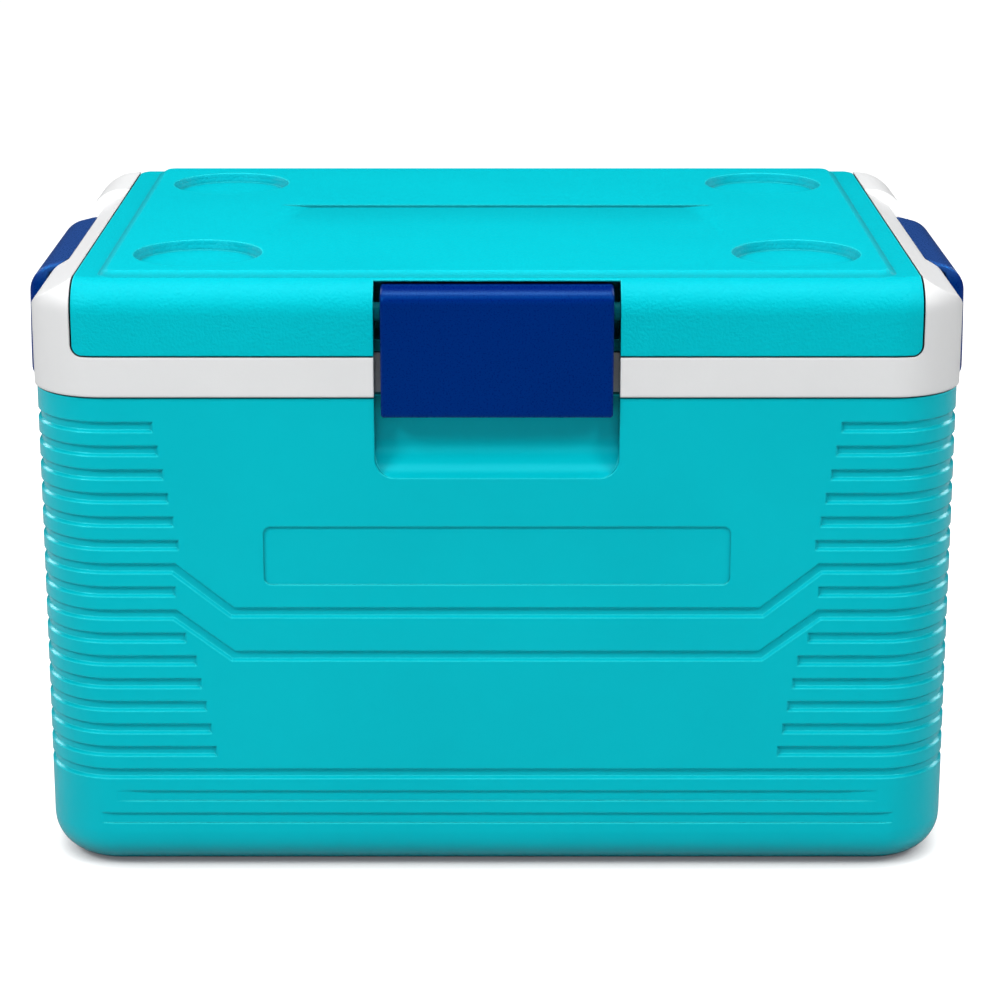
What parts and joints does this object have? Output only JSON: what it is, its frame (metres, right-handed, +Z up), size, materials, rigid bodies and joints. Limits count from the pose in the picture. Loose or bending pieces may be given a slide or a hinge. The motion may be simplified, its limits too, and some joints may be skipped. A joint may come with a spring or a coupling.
{
  "type": "vaccine carrier",
  "caption": "Insulated box with rounded ribbed walls, a hinged lid with round recesses, a front latch, swing handles at the ends and ice packs standing inside.",
  "frame": {"origin": "middle of the base, on the floor plane the carrier stands on", "axes": "+X to the right along the long front, -Y out of the front with the latch, +Z up"},
  "size_m": [0.633, 0.407, 0.404],
  "materials": {
    "shell_plastic": "satin turquoise polyethylene",
    "white_plastic": "satin white polypropylene",
    "blue_plastic": "semi-gloss navy blue",
    "foam": "rigid cellular polyurethane",
    "gasket_rubber": "soft dark seal",
    "hinge_steel": "stainless steel",
    "ice_pack_plastic": "translucent frosted plastic"
  },
  "bodies": {
    "carrier": {"outer_shell": "shell_plastic", "foam_core": "foam", "inner_liner": "white_plastic", "top_collar": "white_plastic", "left_hinge_body_leaf": "hinge_steel", "right_hinge_body_leaf": "hinge_steel", "left_hinge_pin": "hinge_steel", "right_hinge_pin": "hinge_steel", "left_handle_pins": "hinge_steel", "right_handle_pins": "hinge_steel", "ice_pack_1": "ice_pack_plastic", "ice_pack_2": "ice_pack_plastic", "ice_pack_3": "ice_pack_plastic", "ice_pack_4": "ice_pack_plastic", "ice_pack_cap_1": "blue_plastic", "ice_pack_cap_2": "blue_plastic", "ice_pack_cap_3": "blue_plastic", "ice_pack_cap_4": "blue_plastic"},
    "lid": {"lid_shell": "shell_plastic", "lid_foam": "foam", "lid_liner": "white_plastic", "lid_gasket": "gasket_rubber", "left_hinge_lid_leaf": "hinge_steel", "right_hinge_lid_leaf": "hinge_steel", "left_latch_pin": "hinge_steel", "right_latch_pin": "hinge_steel"},
    "latch": {"latch_cover": "blue_plastic"},
    "left_handle": {"left_handle": "blue_plastic"},
    "right_handle": {"right_handle": "blue_plastic"}
  },
  "joints": [
    {"name": "lid_hinge", "type": "hinge", "parent": "carrier", "child": "lid", "pos_m": [0, 0.2025, 0.353], "axis": [-1, 0, 0], "range_deg": [0, 105]},
    {"name": "latch_hinge", "type": "hinge", "parent": "lid", "child": "latch", "pos_m": [0, -0.185, 0.38], "axis": [-1, 0, 0], "range_deg": [0, 100]},
    {"name": "left_handle_hinge", "type": "hinge", "parent": "carrier", "child": "left_handle", "pos_m": [-0.309, 0, 0.3165], "axis": [0, -1, 0], "range_deg": [0, 170]},
    {"name": "right_handle_hinge", "type": "hinge", "parent": "carrier", "child": "right_handle", "pos_m": [0.309, 0, 0.3165], "axis": [0, 1, 0], "range_deg": [0, 170]}
  ]
}
